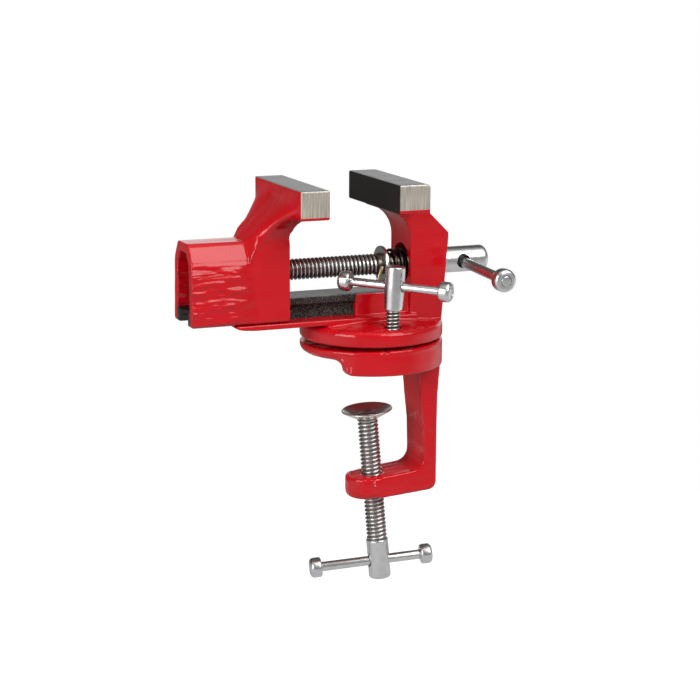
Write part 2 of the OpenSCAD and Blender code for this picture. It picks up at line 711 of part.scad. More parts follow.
// Moving jaw: tunnel over the rail, tapped upright and flared head in one casting
slot_hw = rail_w / 2 + rail_gap;
lip_hw = rail_neck_w / 2 + rail_gap;
lip_top_z = head_bottom_z - rail_gap;
slot_top_z = rail_top_z + rail_gap;
moving_foot_z = ledge_top_z + rail_gap;
shoulder_hw = tunnel_w / 2 - 0.9;
shoulder_low_z = tunnel_top_z - 6.1;
moving_back_face_x = moving_face_x - moving_jaw_t;

// Ridge where the flare leaves the upright's wall, as shares of the way across and up
ridge_shares = [[0.04, 0], [0.1, 0.17], [0.19, 0.36], [0.325, 0.59], [0.5, 0.77], [0.72, 0.91], [1, 1]];
ridge_last = len(ridge_shares) - 1;
ridge_top_z = moving_bottom_z - 1.5;
wall_hw = tunnel_w / 2 - 0.1;
function ridge_at(i) = [
    moving_back_x + moving_upright_t * ridge_shares[i][0],
    shoulder_low_z + (ridge_top_z - shoulder_low_z) * ridge_shares[i][1]];

// Outer edge of the flare: from the tunnel's top up the head's back, then down its end
flare_x = moving_back_face_x + 0.4;
flare_foot = [moving_back_x, tunnel_top_w / 2, tunnel_top_z];
flare_top = [flare_x, jaw_w / 2, moving_top_z - 2.8];
flare_low = [flare_x, jaw_w / 2, moving_bottom_z + 0.1];
function flare_edge(i) =
    i == ridge_last ? flare_low : flare_foot + (flare_top - flare_foot) * i / (ridge_last - 1);

// Half of the tunnel's outside, in Y and Z
module tunnel_outside() {
    for (s = [0, 1]) mirror([s, 0]) polygon([
        [-0.1, moving_foot_z], [tunnel_w / 2 - 0.6, moving_foot_z], [tunnel_w / 2, moving_foot_z + 0.8],
        [shoulder_hw, shoulder_low_z], [shoulder_hw - 0.4, shoulder_low_z + 1.5],
        [tunnel_top_w / 2 + 0.4, tunnel_top_z - 0.7], [tunnel_top_w / 2 - 0.3, tunnel_top_z],
        [-0.1, tunnel_top_z]
    ]);
}

// The T-slot that takes the rail
module rail_slot() {
    polygon([
        [-lip_hw, 0], [lip_hw, 0], [lip_hw, lip_top_z], [slot_hw, lip_top_z], [slot_hw, slot_top_z],
        [-slot_hw, slot_top_z], [-slot_hw, lip_top_z], [-lip_hw, lip_top_z]
    ]);
}

// Hollow of the tunnel above the slot
module tunnel_hollow() {
    for (s = [0, 1]) mirror([s, 0]) polygon([
        [-0.1, lip_top_z], [slot_hw, lip_top_z], [slot_hw - 0.5, shoulder_low_z],
        [tunnel_top_w / 2 - 1.6, tunnel_top_z - roof_t], [-0.1, tunnel_top_z - roof_t]
    ]);
}

module moving_upright_outline() {
    fillet_z = moving_bottom_z - 1.1 - moving_fillet_r;
    polygon(concat(
        [[moving_back_x, moving_foot_z], [moving_inner_x, moving_foot_z]],
        arc([moving_inner_x + moving_fillet_r, fillet_z], moving_fillet_r, 180, 90, 7),
        [[moving_face_x - 0.3, moving_bottom_z], [moving_face_x - 0.3, moving_bottom_z + 1]],
        [[moving_inner_x, moving_bottom_z + 1]],
        [for (i = [ridge_last:-1:0]) ridge_at(i)],
        [[moving_back_x, shoulder_low_z]]));
}

// One point of the flare on both sides, as a speck that a hull can span
module both_sides(x, y, z) {
    speck = 0.02;
    translate([x, speck / 2 - y, z - speck]) cube([speck, 2 * y - speck, speck]);
}

// Flare from the tunnel's top out to the full width of the jaw, with a cove under it
module flare() {
    for (i = [0:ridge_last - 1]) hull() for (j = [i, i + 1]) {
        both_sides(ridge_at(j)[0], wall_hw, ridge_at(j)[1]);
        both_sides(flare_edge(j)[0], flare_edge(j)[1], flare_edge(j)[2]);
    }
}

module moving_jaw() {
    color(red_paint) difference() {
        union() {
            bar_x(tunnel_end_x, moving_inner_x - 0.2) tunnel_outside();
            // Upright up to the fillet, as wide as the tunnel's foot
            intersection() {
                slab_y(tunnel_w) moving_upright_outline();
                bar_x(moving_back_x - 1, moving_face_x + 1) polygon([
                    [-tunnel_w / 2 + 0.6, moving_foot_z], [-tunnel_w / 2, moving_foot_z + 0.8],
                    [-wall_hw, moving_top_z], [wall_hw, moving_top_z],
                    [tunnel_w / 2, moving_foot_z + 0.8], [tunnel_w / 2 - 0.6, moving_foot_z]
                ]);
                hull() {
                    translate([moving_back_x + 3.6, -tunnel_w / 2, 0]) cube([60, tunnel_w, 70]);
                    translate([moving_back_x, -shoulder_hw, 0]) cube([60, 2 * shoulder_hw, shoulder_low_z]);
                }
            }
            flare();
            // Head of the jaw
            translate([moving_back_face_x, -jaw_w / 2, moving_bottom_z]) cube([moving_jaw_t, jaw_w, jaw_h]);
        }
        bar_x(tunnel_end_x - cut, moving_face_x + 1) rail_slot();
        bar_x(tunnel_end_x - cut, moving_back_x + 1) tunnel_hollow();
        // Tapped hole for the main screw
        translate([moving_back_x - 2, 0, screw_z]) rotate([0, 90, 0])
            cylinder(r = screw_d / 2 + thread_fit, h = moving_upright_t + 10);
    }
}

clamp_frame();
clamp_pad();
clamp_screw();
clamp_bar();
clamp_bar_knob_left();
clamp_bar_knob_right();
swivel_base();
pivot_screw();
pivot_washer();
lock_screw();
lock_bar();
lock_bar_knob_left();
lock_bar_knob_right();
jaw_spring();
main_screw();
screw_washer();
split_pin();
main_bar();
main_bar_knob_near();
main_bar_knob_far();
moving_jaw();
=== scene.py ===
import json
from math import cos, pi, radians, sin, sqrt

import bpy
from mathutils import Matrix, Vector


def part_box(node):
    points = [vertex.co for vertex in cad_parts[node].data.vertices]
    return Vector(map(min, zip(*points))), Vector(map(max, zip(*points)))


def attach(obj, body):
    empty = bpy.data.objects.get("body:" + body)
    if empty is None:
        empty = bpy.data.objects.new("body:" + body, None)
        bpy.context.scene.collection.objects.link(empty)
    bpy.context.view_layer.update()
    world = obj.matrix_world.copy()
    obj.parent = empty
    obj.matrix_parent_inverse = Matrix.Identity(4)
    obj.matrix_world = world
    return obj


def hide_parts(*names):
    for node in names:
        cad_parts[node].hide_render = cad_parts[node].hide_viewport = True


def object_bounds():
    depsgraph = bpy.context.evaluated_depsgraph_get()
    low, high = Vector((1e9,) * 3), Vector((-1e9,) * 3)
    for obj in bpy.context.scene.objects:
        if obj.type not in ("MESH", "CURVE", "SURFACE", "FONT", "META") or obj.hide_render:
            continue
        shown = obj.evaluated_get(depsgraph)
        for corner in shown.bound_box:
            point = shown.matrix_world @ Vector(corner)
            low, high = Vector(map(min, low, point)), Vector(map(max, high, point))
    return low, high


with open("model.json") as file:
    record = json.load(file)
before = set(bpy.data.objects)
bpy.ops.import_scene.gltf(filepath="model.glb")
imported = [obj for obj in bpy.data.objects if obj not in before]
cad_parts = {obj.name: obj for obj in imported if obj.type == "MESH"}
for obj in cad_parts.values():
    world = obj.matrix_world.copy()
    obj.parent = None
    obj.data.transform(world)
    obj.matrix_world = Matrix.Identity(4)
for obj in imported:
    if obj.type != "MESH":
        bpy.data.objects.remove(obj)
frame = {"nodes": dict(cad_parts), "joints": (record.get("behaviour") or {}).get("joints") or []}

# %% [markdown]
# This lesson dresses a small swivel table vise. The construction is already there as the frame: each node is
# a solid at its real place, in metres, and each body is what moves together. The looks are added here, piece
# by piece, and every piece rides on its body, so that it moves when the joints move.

mm = 0.001
joints = {j["name"]: j for j in frame["joints"]}
cad_low, cad_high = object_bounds()
print("The solids fill", [round((b - a) / mm, 1) for a, b in zip(cad_low, cad_high)], "mm")

# %% [markdown]
# The camera stands where the photographer stood: a long lens from the lock screw's side, a little above the
# vise and turned towards the moving jaw. Its place and turn were found by matching corners of the jaws, the
# rail and the plates. It is made first, so that every later step can be checked in its view.

# %% Camera
camera_place = Vector((-223.82, -537.66, 128.42)) * mm
camera_turn = (77.898, -0.178, -21.94)
lens_mm = 100.28
bpy.ops.object.camera_add(location=camera_place, rotation=[radians(a) for a in camera_turn])
camera = bpy.context.object
camera.name = "camera"
camera.data.lens = lens_mm
camera.data.sensor_width = 36
camera.data.clip_start = 0.05
bpy.context.scene.camera = camera
print("The camera is", round(camera_place.length / mm), "mm from the swivel axis")

# %% [markdown]
# Materials and the world are built from nodes. These short helpers make a material, a node with its values
# set, and one step of arithmetic.

# %% Node helpers


def new_material(name):
    """A material with its node tree and its main shader."""
    material = bpy.data.materials.new(name)
    material.use_nodes = True
    return material, material.node_tree, material.node_tree.nodes["Principled BSDF"]


def add_node(tree, kind, **values):
    """A node with some of its inputs set by name."""
    node = tree.nodes.new(kind)
    for name, value in values.items():
        node.inputs[name.replace("_", " ")].default_value = value
    return node


def work_out(tree, operation, *values):
    """One step of arithmetic on sockets or numbers."""
    made = tree.nodes.new("ShaderNodeMath")
    made.operation = operation
    for i, value in enumerate(values):
        if isinstance(value, (int, float)):
            made.inputs[i].default_value = value
        else:
            tree.links.new(value, made.inputs[i])
    return made.outputs[0]


print("Node helpers are ready")

# %% [markdown]
# The studio is plain: a pale floor, low enough for the clamp screw when it is wound right down, a large soft
# key lamp from the right of the camera, which draws the long pink reflection on the moving jaw's shoulder,
# and a weak one from the left. The camera sees white all round. Enamel and metal mirror that white as a band
# behind the vise, and the floor as pale grey. For mirrored rays only, the rest of the room is dim, with a
# pale strip low on either side and a white patch overhead: faces that look up catch the light, faces that
# look at the camera keep their colour, and chrome has something dark to mirror.

# %% Floor
floor_size = 0.36
floor_drop = 19 * mm
bpy.ops.mesh.primitive_plane_add(size=floor_size, location=(0, 0, cad_low[2] - floor_drop))
floor = bpy.context.object
floor.name = "floor"
floor_material, tree, shader = new_material("floor_white")
shader.inputs["Base Color"].default_value = (0.35, 0.35, 0.35, 1)
shader.inputs["Roughness"].default_value = 0.9
seen_white = 0.80
mirrored_grey = 0.30
glow = add_node(tree, "ShaderNodeEmission", Color=(1, 1, 1, 1))
seen = tree.nodes.new("ShaderNodeLightPath")
both = tree.nodes.new("ShaderNodeAddShader")
mirror_part = work_out(tree, "MULTIPLY", seen.outputs["Is Glossy Ray"], mirrored_grey)
glow_part = work_out(tree, "MULTIPLY_ADD", seen.outputs["Is Camera Ray"], seen_white, mirror_part)
tree.links.new(glow_part, glow.inputs["Strength"])
tree.links.new(shader.outputs[0], both.inputs[0])
tree.links.new(glow.outputs[0], both.inputs[1])
tree.links.new(both.outputs[0], tree.nodes["Material Output"].inputs[0])
floor.data.materials.append(floor_material)
print("The floor is", floor_size, "m wide")

# %% Lamps and world
lamp_target = Vector((-0.01, 0, 0.0))


def lamp(name, place, size, power):
    """A soft square lamp that looks at the vise."""
    bpy.ops.object.light_add(type="AREA", location=place)
    made = bpy.context.object
    made.name = name
    made.data.size = size
    made.data.energy = power
    made.rotation_euler = (lamp_target - Vector(place)).to_track_quat("-Z", "Y").to_euler()
    return made


lamp("key_lamp", (0.38, -0.68, 0.70), 0.75, 9.5)
lamp("left_lamp", (-0.95, -0.45, 0.30), 0.60, 7.5)

world = bpy.data.worlds.new("studio")
bpy.context.scene.world = world
world.use_nodes = True
tree = world.node_tree
sky = tree.nodes["Background"]
soft_light = 0.42
sky.inputs["Color"].default_value = (1, 1, 1, 1)
sky.inputs["Strength"].default_value = soft_light
where = tree.nodes.new("ShaderNodeTexCoord")
split = tree.nodes.new("ShaderNodeSeparateXYZ")
tree.links.new(where.outputs["Generated"], split.inputs[0])


def fade(value, start, end, low, high):
    """Smooth step from low to high as a direction's part goes from start to end."""
    made = add_node(tree, "ShaderNodeMapRange", From_Min=start, From_Max=end, To_Min=low, To_Max=high)
    made.interpolation_type = "SMOOTHSTEP"
    tree.links.new(value, made.inputs["Value"])
    return made.outputs[0]


def times(first, second):
    """Product of two sockets."""
    return work_out(tree, "MULTIPLY", first, second)


side_x, side_y, side_z = (split.outputs[name] for name in "XYZ")
white_strength = 1.0
dim_low = 0.55
dim_high = 0.24
dim_behind = 0.35
strip_strength = 0.5

# The white band behind the vise: its share of white, from 0 to 1.
behind = times(fade(side_y, 0.1, 0.6, 0.0, 1.0), fade(side_z, -0.06, 0.02, 0.0, 1.0))
behind = times(behind, fade(side_z, 0.20, 0.36, 1.0, 0.0))
behind = times(behind, fade(side_x, -0.05, 0.25, 0.1, 1.0))

# The dim room, the strips low on either side and the patch overhead, which brings the room up to white.
dim_room = add_node(tree, "ShaderNodeBackground", Color=(1, 1, 1, 1))
dim = times(fade(side_z, -0.22, 0.02, dim_low, dim_high), fade(side_y, 0.1, 0.6, 1.0, dim_behind))
sides = fade(work_out(tree, "ABSOLUTE", side_x), 0.62, 0.95, 0.0, strip_strength)
sides = times(sides, fade(side_z, -0.06, 0.02, 1.0, 0.0))
overhead = fade(side_z, 0.80, 0.88, 0.0, white_strength - dim_high)
overhead = times(overhead, fade(side_y, -0.05, 0.15, 1.0, 0.0))
dim = work_out(tree, "ADD", work_out(tree, "ADD", dim, sides), overhead)
tree.links.new(dim, dim_room.inputs["Strength"])
white = add_node(tree, "ShaderNodeBackground", Color=(1, 1, 1, 1), Strength=white_strength)
seen = tree.nodes.new("ShaderNodeLightPath")


def choose(share, first, second):
    """First background where the share is 0, second where it is 1."""
    made = tree.nodes.new("ShaderNodeMixShader")
    tree.links.new(share, made.inputs[0])
    tree.links.new(first, made.inputs[1])
    tree.links.new(second, made.inputs[2])
    return made.outputs[0]


mirrored = choose(behind, dim_room.outputs[0], white.outputs[0])
around = choose(seen.outputs["Is Glossy Ray"], sky.outputs[0], mirrored)
around = choose(seen.outputs["Is Transmission Ray"], around, white.outputs[0])
around = choose(seen.outputs["Is Camera Ray"], around, white.outputs[0])
tree.links.new(around, tree.nodes["World Output"].inputs[0])
bpy.context.scene.view_settings.view_transform = "Standard"
print("Two lamps and a soft sky light the vise")

# %% [markdown]
# Every finish is built from nodes that read Object coordinates in metres, so a grain keeps its real size on
# each piece. Two helpers do most of the work. One makes a height map from noise and turns it into bumps, the
# other marks a box-shaped stretch of a casting, such as the ground top of a jaw, by its place.

# %% Helpers for finishes


def coordinates(tree, stretch=(1, 1, 1)):
    """Object coordinates, stretched to draw a grain out along an axis."""
    source = tree.nodes.new("ShaderNodeTexCoord")
    mapping = tree.nodes.new("ShaderNodeMapping")
    mapping.inputs["Scale"].default_value = stretch
    tree.links.new(source.outputs["Object"], mapping.inputs["Vector"])
    return mapping.outputs[0]


def noise(tree, size, detail=3.0, stretch=(1, 1, 1)):
    """Noise whose largest spots are about size across, in metres."""
    made = add_node(tree, "ShaderNodeTexNoise", Scale=1 / size, Detail=detail, Roughness=0.55)
    tree.links.new(coordinates(tree, stretch), made.inputs["Vector"])
    return made.outputs["Fac"]


def span(tree, value, low, high):
    """The value from 0..1 stretched to low..high."""
    made = tree.nodes.new("ShaderNodeMapRange")
    made.inputs["To Min"].default_value = low
    made.inputs["To Max"].default_value = high
    tree.links.new(value, made.inputs["Value"])
    return made.outputs[0]


def mix_colour(tree, mask, first, second):
    """First colour where the mask is 0, second where it is 1. Either may be a socket."""
    made = tree.nodes.new("ShaderNodeMix")
    made.data_type = "RGBA"
    tree.links.new(mask, made.inputs["Factor"])
    for name, value in (("A", first), ("B", second)):
        socket = [s for s in made.inputs if s.name == name and s.type == "RGBA"][0]
        if isinstance(value, tuple):
            socket.default_value = (*value, 1)
        else:
            tree.links.new(value, socket)
    return [s for s in made.outputs if s.type == "RGBA"][0]


def mix_number(tree, mask, first, second):
    """First number where the mask is 0, second where it is 1."""
    difference = work_out(tree, "SUBTRACT", second, first)
    return work_out(tree, "MULTIPLY_ADD", difference, mask, first)


def bumps(tree, shader, layers):
    """Adds up (height socket, depth in metres) layers and bumps the shader with them."""
    total = None
    for height, depth in layers:
        scaled = work_out(tree, "MULTIPLY", height, depth)
        total = scaled if total is None else work_out(tree, "ADD", total, scaled)
    bump = add_node(tree, "ShaderNodeBump", Strength=1.0, Distance=1.0)
    tree.links.new(total, bump.inputs["Height"])
    tree.links.new(bump.outputs[0], shader.inputs["Normal"])


def region(tree, x=None, y=None, z=None, edge=0.12 * mm, ragged=0.1 * mm):
    """1 inside the given ranges in metres and 0 outside, with a slightly ragged edge."""
    source = tree.nodes.new("ShaderNodeTexCoord")
    parts = tree.nodes.new("ShaderNodeSeparateXYZ")
    tree.links.new(source.outputs["Object"], parts.inputs[0])
    wander = work_out(tree, "MULTIPLY", work_out(tree, "SUBTRACT", noise(tree, 0.9 * mm), 0.5), 2 * ragged)
    mask = None
    for name, limits in (("X", x), ("Y", y), ("Z", z)):
        if limits is None:
            continue
        value = work_out(tree, "ADD", parts.outputs[name], wander)
        for limit, side in zip(limits, (1, -1)):
            if limit is None:
                continue
            slope = work_out(tree, "MULTIPLY_ADD", value, side / edge, -side * limit / edge + 0.5)
            step = work_out(tree, "MINIMUM", work_out(tree, "MAXIMUM", slope, 0.0), 1.0)
            mask = step if mask is None else work_out(tree, "MULTIPLY", mask, step)
    return mask


print("Helpers for finishes are ready")

# %% [markdown]
# The castings are dipped in a glossy red enamel. It pools in the corners, it keeps a faint wave from the sand
# mould below it, and it is a little darker where it is thick. Where the jaws are ground and where the rail is
# left black, the paint is masked out by place.

# %% Colours of the castings
enamel = (0.56, 0.004, 0.010)
enamel_deep = (0.40, 0.001, 0.005)
ground_steel = (0.36, 0.36, 0.36)
brushed_steel = (0.45, 0.40, 0.34)
black_scale = (0.016, 0.015, 0.014)


def start_casting(name):
    """The enamel alone, as sockets that later finishes are mixed into."""
    material, tree, shader = new_material(name)
    patches = noise(tree, 14 * mm, 4.0)
    colour = mix_colour(tree, span(tree, patches, 0.0, 0.8), enamel, enamel_deep)
    roughness = span(tree, noise(tree, 3 * mm, 4.0), 0.07, 0.17)
    return material, tree, shader, {"colour": colour, "roughness": roughness, "metallic": 0.0}


def lay_over(tree, finish, mask, colour, roughness, metallic):
    """Mixes another finish over the one so far, where the mask is 1."""
    return {
        "colour": mix_colour(tree, mask, finish["colour"], colour),
        "roughness": mix_number(tree, mask, finish["roughness"], roughness),
        "metallic": mix_number(tree, mask, finish["metallic"], metallic),
    }


def finish_casting(tree, shader, finish, rough_mask=None, ripple_mask=None):
    """Links the mixed finish to the shader and adds the waves and specks of the casting."""
    tree.links.new(finish["colour"], shader.inputs["Base Color"])
    shader.inputs["Specular IOR Level"].default_value = 0.36
    tree.links.new(finish["roughness"], shader.inputs["Roughness"])
    if not isinstance(finish["metallic"], float):
        tree.links.new(finish["metallic"], shader.inputs["Metallic"])
    layers = [
        (noise(tree, 9 * mm, 2.0, (0.3, 1, 1)), 0.45 * mm),
        (noise(tree, 2.2 * mm, 3.0, (0.25, 1, 1)), 0.05 * mm),
        (noise(tree, 0.8 * mm, 2.0), 0.004 * mm),
    ]
    if rough_mask is not None:
        grit = work_out(tree, "MULTIPLY", noise(tree, 0.55 * mm, 3.0), rough_mask)
        layers.append((grit, 1.5 * mm))
    if ripple_mask is not None:
        ripple = work_out(tree, "MULTIPLY", noise(tree, 2.6 * mm, 1.5, (0.3, 1, 1)), ripple_mask)
        layers.append((ripple, 1.75 * mm))
    bumps(tree, shader, layers)


def brushed(tree, base, spread=0.35):
    """A metal colour with fine vertical lines from the belt grinder."""
    lines = noise(tree, 0.16 * mm, 3.0, (1, 1, 0.015))
    light = tuple(min(c * (1 + spread), 1) for c in base)
    dark = tuple(c * (1 - spread) for c in base)
    return mix_colour(tree, span(tree, lines, -1.9, 2.9), dark, light)


print("The enamel and the ground steel can be mixed")

# %% [markdown]
# Screws, bars and knobs are nickel-plated steel. A plain mirror looks false, so the plating gets faint
# patches of a duller tone, a grey that changes a little over a few millimetres, and hairline turning marks.

# %% Plated and dark metals


def plated(name, colour, duller, roughness, grain=0.001 * mm):
    """Plated steel with soft patches and fine marks."""
    material, tree, shader = new_material(name)
    patches = span(tree, noise(tree, 2.5 * mm, 4.0), -0.3, 1.3)
    tree.links.new(mix_colour(tree, patches, colour, duller), shader.inputs["Base Color"])
    low, high = roughness
    tree.links.new(span(tree, noise(tree, 4 * mm, 2.0), low, high), shader.inputs["Roughness"])
    shader.inputs["Metallic"].default_value = 1.0
    bumps(tree, shader, [(noise(tree, 0.25 * mm, 3.0), grain)])
    return material


nickel = plated("nickel_plate", (0.68, 0.68, 0.68), (0.54, 0.54, 0.54), (0.23, 0.33), 0.0004 * mm)


def threaded_steel(name, place, direction, root, crest, groove=(0.06, 0.055, 0.05)):
    """Steel with painted shade in its grooves: its tone follows the distance from the screw's axis."""
    material, tree, shader = new_material(name)
    source = tree.nodes.new("ShaderNodeTexCoord")
    offset = tree.nodes.new("ShaderNodeVectorMath")
    offset.operation = "SUBTRACT"
    offset.inputs[1].default_value = place
    across = tree.nodes.new("ShaderNodeVectorMath")
    across.operation = "CROSS_PRODUCT"
    across.inputs[1].default_value = Vector(direction).normalized()
    length = tree.nodes.new("ShaderNodeVectorMath")
    length.operation = "LENGTH"
    tree.links.new(source.outputs["Object"], offset.inputs[0])
    tree.links.new(offset.outputs[0], across.inputs[0])
    tree.links.new(across.outputs[0], length.inputs[0])
    # Painted shade: the steel is darker towards the thread's root, where shade falls, and lighter at its
    # crest.
    height = add_node(tree, "ShaderNodeMapRange", From_Min=root, From_Max=crest)
    tree.links.new(length.outputs["Value"], height.inputs["Value"])
    shade_share_raw = work_out(tree, "ADD", height.outputs[0], span(tree, noise(tree, 1.5 * mm, 4.0), -0.3, 0.3))
    unshaded_share = work_out(tree, "MINIMUM", work_out(tree, "MAXIMUM", shade_share_raw, 0.0), 1.0)
    tree.links.new(mix_colour(tree, unshaded_share, groove, (0.66, 0.65, 0.64)), shader.inputs["Base Color"])
    tree.links.new(mix_number(tree, unshaded_share, 0.45, 0.24), shader.inputs["Roughness"])
    shader.inputs["Metallic"].default_value = 1.0
    return material


cup_steel = plated("cup_steel", (0.74, 0.71, 0.69), (0.55, 0.50, 0.47), (0.24, 0.36), 0.0006 * mm)
spring_steel = plated("spring_steel", (0.11, 0.09, 0.075), (0.035, 0.03, 0.028), (0.14, 0.28))
# The shank gets a darker steel as painted shade, for the shade inside the jaw spring that coils round it.
shank_painted_shade = plated("shank_painted_shade", (0.34, 0.30, 0.26), (0.16, 0.13, 0.11), (0.20, 0.40))
pin_brass = plated("pin_brass", (0.42, 0.34, 0.22), (0.22, 0.17, 0.10), (0.22, 0.45))
print("Four metals are ready, and one more for each thread")

# %% [markdown]
# A few habits from the viewport become small helpers: deselect everything, pick one object, apply a
# modifier, and lay a finished piece in its frame so that its object ends at the origin.

# %% Modelling helpers


def pick(piece):
    """Selects one object alone and makes it active."""
    if bpy.context.object and bpy.context.object.mode != "OBJECT":
        bpy.ops.object.mode_set(mode="OBJECT")
    bpy.ops.object.select_all(action="DESELECT")
    piece.select_set(True)
    bpy.context.view_layer.objects.active = piece
    return piece


def apply_all(piece):
    """Applies every modifier of a piece, top first."""
    pick(piece)
    for modifier in list(piece.modifiers):
        bpy.ops.object.modifier_apply(modifier=modifier.name)
    return piece


def lay(piece, place):
    """Moves a piece into its frame and applies that move."""
    pick(piece)
    piece.matrix_world = place @ piece.matrix_world
    bpy.ops.object.transform_apply(location=True, rotation=True, scale=True)
    return piece


def smooth(piece, degrees=40):
    """Smooth shading that keeps edges sharper than the angle."""
    pick(piece)
    bpy.ops.object.shade_smooth_by_angle(angle=radians(degrees))
    return piece


def dress(piece, name, body, slot, material, *nodes):
    """Names a finished piece, gives it its finish and lets it ride and replace nodes."""
    piece.name = name
    piece.data.name = name
    piece.data.materials.clear()
    piece.data.materials.append(material)
    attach(piece, body)
    if nodes:
        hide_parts(*nodes)
    count = sum(len(p.vertices) - 2 for p in piece.data.polygons)
    print(name, "has", count, "triangles")
    return piece


def outline(points):
    """A chain of edges through (radius, height) points in the XZ plane, drawn by extruding one corner."""
    bpy.ops.mesh.primitive_plane_add(size=mm)
    piece = pick(bpy.context.object)
    bpy.ops.object.mode_set(mode="EDIT")
    bpy.ops.mesh.select_all(action="SELECT")
    bpy.ops.mesh.merge(type="CENTER")
    bpy.ops.transform.translate(value=(points[0][0], 0, points[0][1]))
    for (r0, z0), (r1, z1) in zip(points, points[1:]):
        bpy.ops.mesh.extrude_region_move(TRANSFORM_OT_translate={"value": (r1 - r0, 0, z1 - z0)})
    bpy.ops.object.mode_set(mode="OBJECT")
    return piece


merge_gap = 0.0005 * mm


def close_up(piece):
    """Merges corners that meet, points the faces outwards and leaves edit mode."""
    bpy.ops.mesh.select_all(action="SELECT")
    bpy.ops.mesh.remove_doubles(threshold=merge_gap)
    bpy.ops.mesh.normals_make_consistent(inside=False)
    bpy.ops.object.mode_set(mode="OBJECT")
    return piece


def lathe(points, steps=64):
    """Turns an outline about Z, closes its seam and its poles and points its faces outwards."""
    piece = outline(points)
    bpy.ops.object.mode_set(mode="EDIT")
    bpy.ops.mesh.select_all(action="SELECT")
    bpy.ops.mesh.spin(steps=steps, angle=2 * pi, center=(0, 0, 0), axis=(0, 0, 1))
    return close_up(piece)


def arc(centre, radius, start, end, count):
    """Points on a quarter or so of a circle, angles in degrees."""
    angles = [radians(start + (end - start) * i / count) for i in range(count + 1)]
    return [(centre[0] + radius * cos(a), centre[1] + radius * sin(a)) for a in angles]


def frame_at(place, direction):
    """A frame whose Z runs along a direction, from a place in metres."""
    turn = Vector((0, 0, 1)).rotation_difference(Vector(direction))
    return Matrix.Translation(place) @ turn.to_matrix().to_4x4()


print("Modelling helpers are ready")

# %% [markdown]
# A thread is one ridge that climbs round its screw. The Screw modifier makes it from the outline of a
# single ridge: each turn rises by the pitch, so the next turn starts where the last one ended. The ragged
# first and last turns are then cut square with Bisect, which also fills the cut. Validate removes the few
# faces that the fill makes twice.

# %% Threads


def thread(diameter, pitch, start, end, depth=0.52):
    """A helical thread about Z, from start to end, with rounded crests. Its depth is a part of the pitch."""
    crest = diameter / 2
    root = crest - depth * pitch
    ridge = [(root, 0), (root, 0.12 * pitch), (crest - 0.06 * pitch, 0.42 * pitch), (crest, 0.5 * pitch),
             (crest, 0.58 * pitch), (crest - 0.06 * pitch, 0.66 * pitch), (root, 0.96 * pitch), (root, pitch)]
    piece = outline(ridge)
    turns = int((end - start) / pitch) + 3
    coil = piece.modifiers.new("coil", "SCREW")
    coil.angle = 2 * pi
    coil.screw_offset = pitch
    coil.iterations = turns
    coil.steps = 32
    coil.render_steps = 32
    coil.use_merge_vertices = True
    coil.merge_threshold = 0.001 * mm
    apply_all(piece)
    piece.location.z = start - 1.5 * pitch
    bpy.ops.object.transform_apply(location=True, rotation=True, scale=True)
    bpy.ops.object.mode_set(mode="EDIT")
    for height, outer in ((end, True), (start, False)):
        bpy.ops.mesh.select_all(action="SELECT")
        bpy.ops.mesh.bisect(plane_co=(0, 0, height), plane_no=(0, 0, 1), use_fill=True,
                            clear_outer=outer, clear_inner=not outer)
    close_up(piece)
    piece.data.validate()
    return piece


def skin(piece, voxel, rounds):
    """Rebuilds a closed piece as an even mesh and relaxes it, which rounds its edges."""
    pick(piece)
    piece.data.remesh_voxel_size = voxel
    bpy.ops.object.voxel_remesh()
    relax = piece.modifiers.new("relax", "SMOOTH")
    relax.factor = 0.5
    relax.iterations = rounds
    apply_all(piece)
    bpy.ops.object.shade_smooth()
    return piece


def cross_hole(piece, height, direction, diameter, reach):
    """Bores a hole across a head at a height, along a direction in degrees about Z, and breaks its edge."""
    bpy.ops.mesh.primitive_cylinder_add(vertices=64, radius=diameter / 2, depth=2 * reach,
                                        location=(0, 0, height), rotation=(0, pi / 2, radians(direction)))
    drill = bpy.context.object
    bore = piece.modifiers.new("bore", "BOOLEAN")
    bore.operation = "DIFFERENCE"
    bore.solver = "EXACT"
    bore.object = drill
    apply_all(piece)
    bpy.data.objects.remove(drill, do_unlink=True)
    return skin(piece, 0.12 * mm, 14)


def joined(first, *others):
    """Joins separate closed parts of one piece into one object."""
    pick(first)
    for other in others:
        other.select_set(True)
    bpy.ops.object.join()
    return first


print("Threads climb by their pitch each turn")

# %% [markdown]
# The main screw is one steel bar: a long thread through the moving jaw, a plain shank in the fixed upright,
# and a round head outside it with a cross hole for its bar. It is built upright about Z, with zero at the
# head's seat, and then laid along the vise.

# %% Main screw
screw_pitch = 1.27 * mm
screw_low, screw_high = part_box("main_screw")
screw_z = (screw_low.z + screw_high.z) / 2
head_len = 17 * mm
head_d = screw_high.z - screw_low.z
seat_x = screw_high.x - head_len
hole_up = 8.05 * mm
hole_d = 4.3 * mm
bar_droop = 2.3
along_screw = Matrix.Translation((seat_x, 0, screw_z)) @ Matrix.Rotation(radians(90), 4, "Y")
shank_d = 6.5 * mm
thread_d = 6.4 * mm
thread_root = 2.6 * mm
thread_crest = 3.15 * mm
washer_low, washer_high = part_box("screw_washer")
thread_stop = washer_low.x - 1.5 * mm - seat_x
screw_thread = thread(thread_d, screw_pitch, screw_low.x + 0.4 * mm - seat_x, thread_stop)
tip = lathe([(0, 0), (2.3 * mm, 0), (2.7 * mm, 0.45 * mm), (0, 0.5 * mm)], 32)
tip.location.z = screw_low.x - seat_x
shank = lathe([(0, thread_stop - 0.3 * mm), (2.6 * mm, thread_stop - 0.3 * mm),
               (shank_d / 2, thread_stop + 0.2 * mm), (shank_d / 2, 0.5 * mm), (0, 0.5 * mm)])
